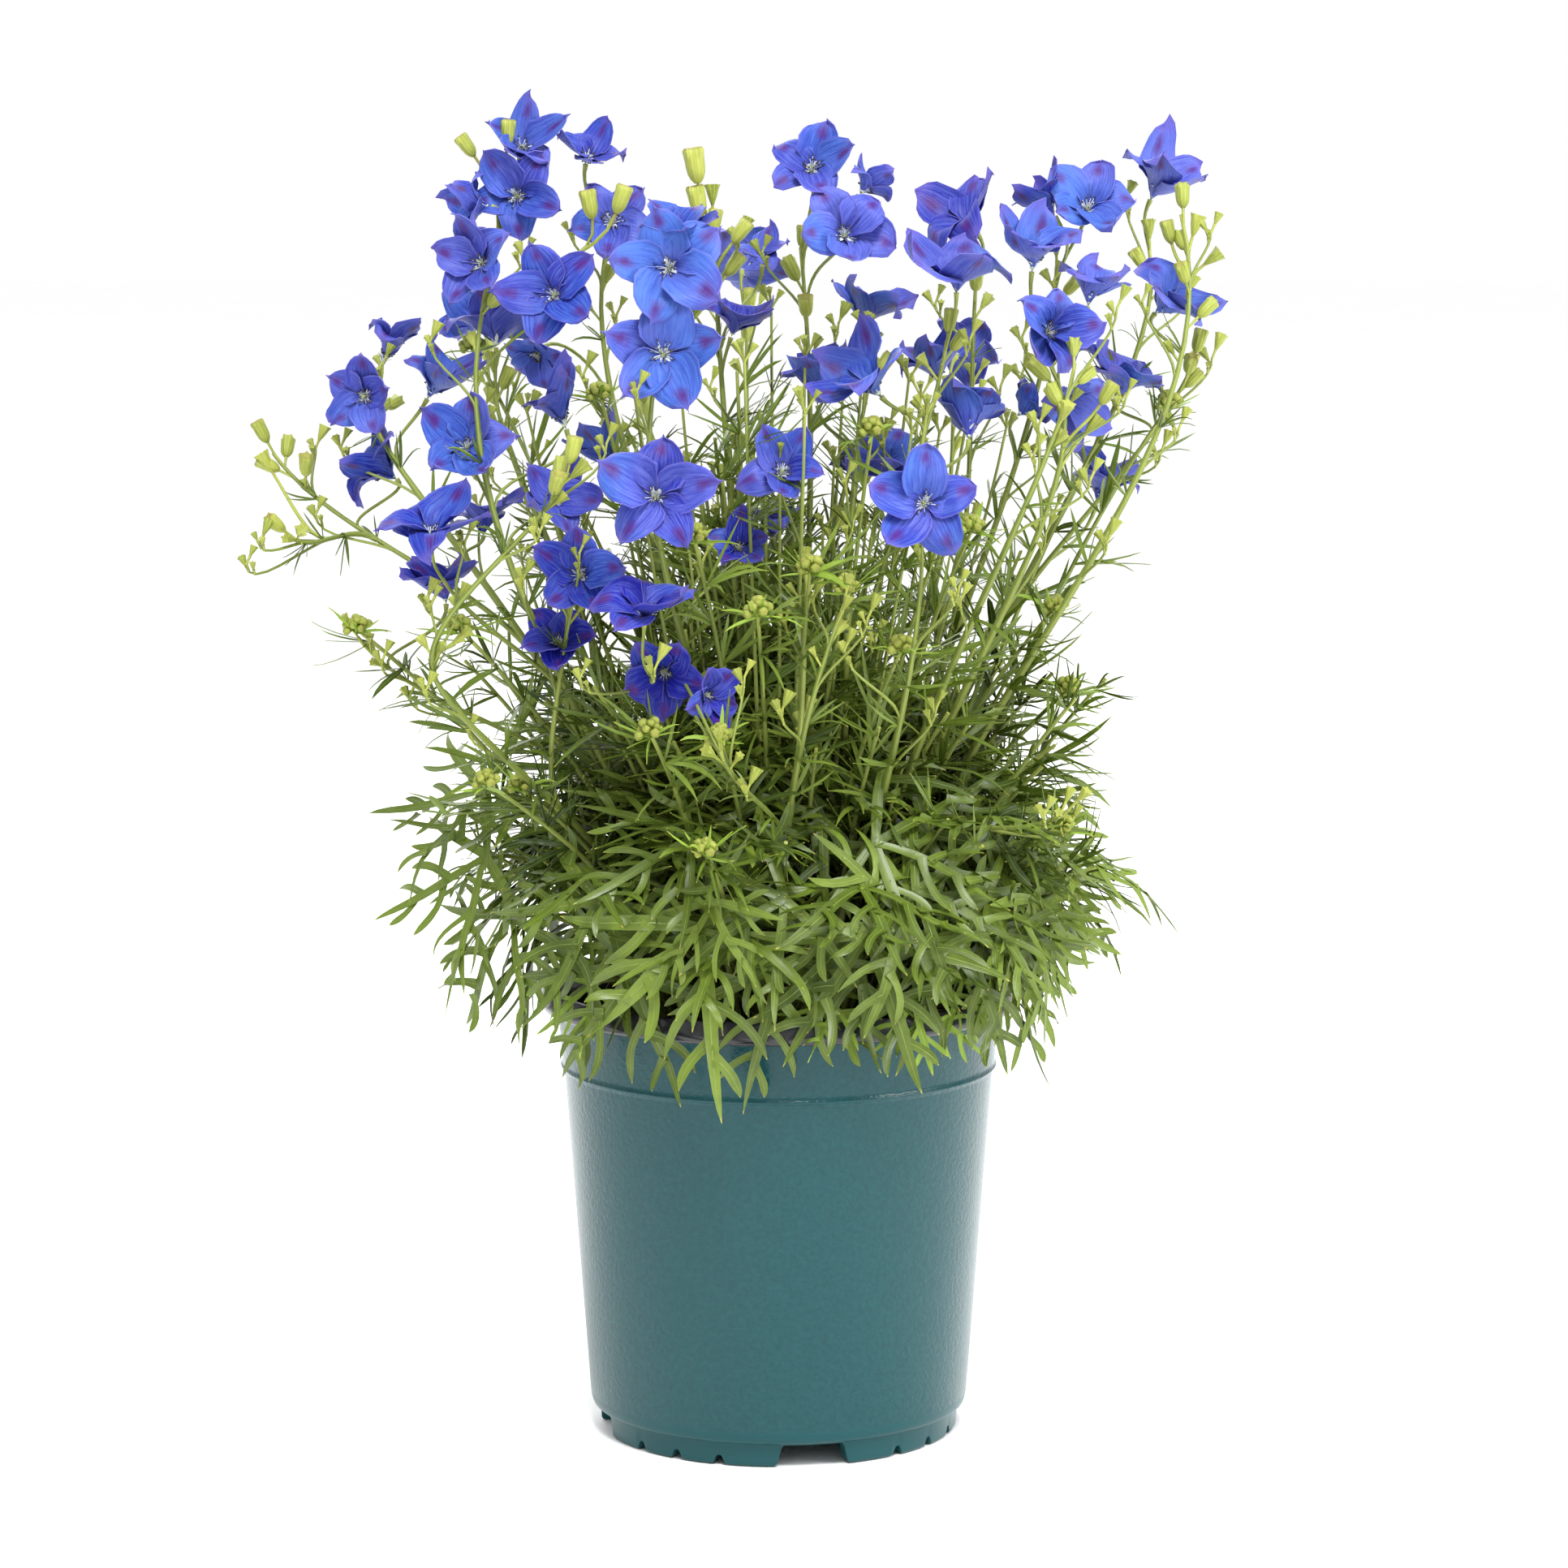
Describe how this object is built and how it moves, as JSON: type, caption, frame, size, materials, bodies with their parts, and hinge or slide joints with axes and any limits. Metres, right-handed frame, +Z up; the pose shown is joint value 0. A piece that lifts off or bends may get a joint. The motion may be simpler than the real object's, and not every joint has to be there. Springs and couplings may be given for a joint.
{
  "type": "potted delphinium plant",
  "caption": "Compact spurless delphinium in flower, with blue five-petalled blooms on thin branching stems over a mound of cut leaves, in a round plain nursery pot filled with soil.",
  "frame": {"origin": "centre of the round pad in the middle of the pot's underside, on the plane that the pot stands on", "axes": "+Z up along the pot's axis, the row's longest extent; -Y is the side with the most open blooms; +X is to the right of someone who looks at that side"},
  "size_m": [0.3541, 0.2726, 0.4891],
  "materials": {
    "pot": "satin",
    "soil": "matte",
    "stem": "matte",
    "leaf": "matte",
    "petal": "matte"
  },
  "bodies": {
    "root": {"pot": "pot", "potting_soil": "soil", "flowering_stems_left": "stem", "flowering_stems_middle": "stem", "flowering_stems_right": "stem", "basal_leaves_1": "leaf", "basal_leaves_2": "leaf", "basal_leaves_3": "leaf", "bloom_01": "petal", "bloom_02": "petal", "bloom_03": "petal", "bloom_04": "petal", "bloom_05": "petal", "bloom_06": "petal", "bloom_07": "petal", "bloom_08": "petal", "bloom_09": "petal", "bloom_10": "petal", "bloom_11": "petal", "bloom_12": "petal", "bloom_13": "petal", "bloom_14": "petal", "bloom_15": "petal", "bloom_16": "petal", "bloom_17": "petal", "bloom_18": "petal", "bloom_19": "petal", "bloom_20": "petal", "bloom_21": "petal", "bloom_22": "petal", "bloom_23": "petal", "bloom_24": "petal", "bloom_25": "petal", "bloom_26": "petal", "bloom_27": "petal", "bloom_28": "petal", "bloom_29": "petal", "bloom_30": "petal", "bloom_31": "petal", "bloom_32": "petal", "bloom_33": "petal", "bloom_34": "petal", "bloom_35": "petal", "bloom_36": "petal", "bloom_37": "petal", "bloom_38": "petal", "bloom_39": "petal", "bloom_40": "petal", "bloom_41": "petal", "bloom_42": "petal", "bloom_43": "petal", "bloom_44": "petal", "bloom_45": "petal", "bloom_46": "petal", "bloom_47": "petal", "bloom_48": "petal", "bloom_49": "petal", "bloom_50": "petal", "bloom_51": "petal", "bloom_52": "petal"}
  },
  "joints": []
}
